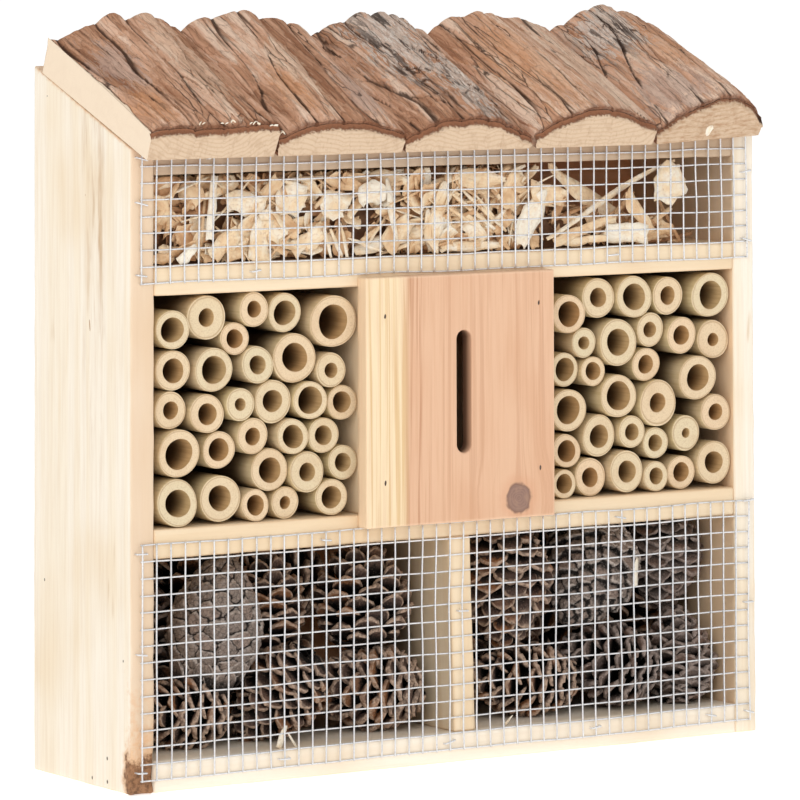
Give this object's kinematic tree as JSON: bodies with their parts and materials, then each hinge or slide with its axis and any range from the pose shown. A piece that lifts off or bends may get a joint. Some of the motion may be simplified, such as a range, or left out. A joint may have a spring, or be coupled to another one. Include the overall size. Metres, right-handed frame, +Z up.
{
  "type": "insect hotel",
  "caption": "Wooden insect hotel on three tiers: pine cones, cane tubes round a slotted butterfly chamber, and wood chips, under a sloping roof of bark slabs.",
  "frame": {"origin": "centre of the base on the ground", "axes": "+X to the right seen from the front, -Y is the open front, +Z up"},
  "size_m": [0.3005, 0.1001, 0.2968],
  "materials": {
    "side_wood": "sanded pale softwood",
    "front_wood": "sawn warm softwood",
    "back_wood": "thin panel, matt",
    "plate_wood": "planed pinkish heartwood with a pale sapwood edge",
    "nail_steel": "dull brad heads",
    "bark": "rough ridged bark over pale end grain",
    "galvanised_wire": "bright galvanised wire",
    "wood_chips": "raw shavings",
    "grey_cone": "weathered matt scales",
    "brown_cone": "matt scales",
    "cane": "cut bamboo, satin skin"
  },
  "bodies": {
    "root": {"left_side_panel": "side_wood", "right_side_panel": "side_wood", "roof_deck": "front_wood", "bottom_board": "front_wood", "lower_shelf": "front_wood", "upper_shelf": "front_wood", "cone_divider": "front_wood", "chamber_divider_left": "front_wood", "chamber_divider_right": "front_wood", "back_panel": "back_wood", "slot_plate": "plate_wood", "slot_plate_nail_1": "nail_steel", "slot_plate_nail_2": "nail_steel", "slot_plate_nail_3": "nail_steel", "slot_plate_nail_4": "nail_steel", "roof_slab_1": "bark", "roof_slab_2": "bark", "roof_slab_3": "bark", "roof_slab_4": "bark", "roof_slab_5": "bark", "lower_wire_mesh": "galvanised_wire", "upper_wire_mesh": "galvanised_wire", "staple_1": "galvanised_wire", "staple_2": "galvanised_wire", "staple_3": "galvanised_wire", "staple_4": "galvanised_wire", "staple_5": "galvanised_wire", "staple_6": "galvanised_wire", "staple_7": "galvanised_wire", "staple_8": "galvanised_wire", "staple_9": "galvanised_wire", "staple_10": "galvanised_wire", "staple_11": "galvanised_wire", "wood_chips": "wood_chips", "pine_cone_left_1": "grey_cone", "pine_cone_left_2": "grey_cone", "pine_cone_left_3": "brown_cone", "pine_cone_left_4": "brown_cone", "pine_cone_left_5": "brown_cone", "pine_cone_left_6": "brown_cone", "pine_cone_left_7": "brown_cone", "pine_cone_right_1": "brown_cone", "pine_cone_right_2": "grey_cone", "pine_cone_right_3": "grey_cone", "pine_cone_right_4": "grey_cone", "pine_cone_right_5": "grey_cone", "pine_cone_right_6": "brown_cone", "pine_cone_right_7": "brown_cone", "canes_left_row_1": "cane", "canes_left_row_2": "cane", "canes_left_row_3": "cane", "canes_left_row_4": "cane", "canes_left_row_5": "cane", "canes_left_row_6": "cane", "canes_right_row_1": "cane", "canes_right_row_2": "cane", "canes_right_row_3": "cane", "canes_right_row_4": "cane", "canes_right_row_5": "cane", "canes_right_row_6": "cane"}
  },
  "joints": []
}
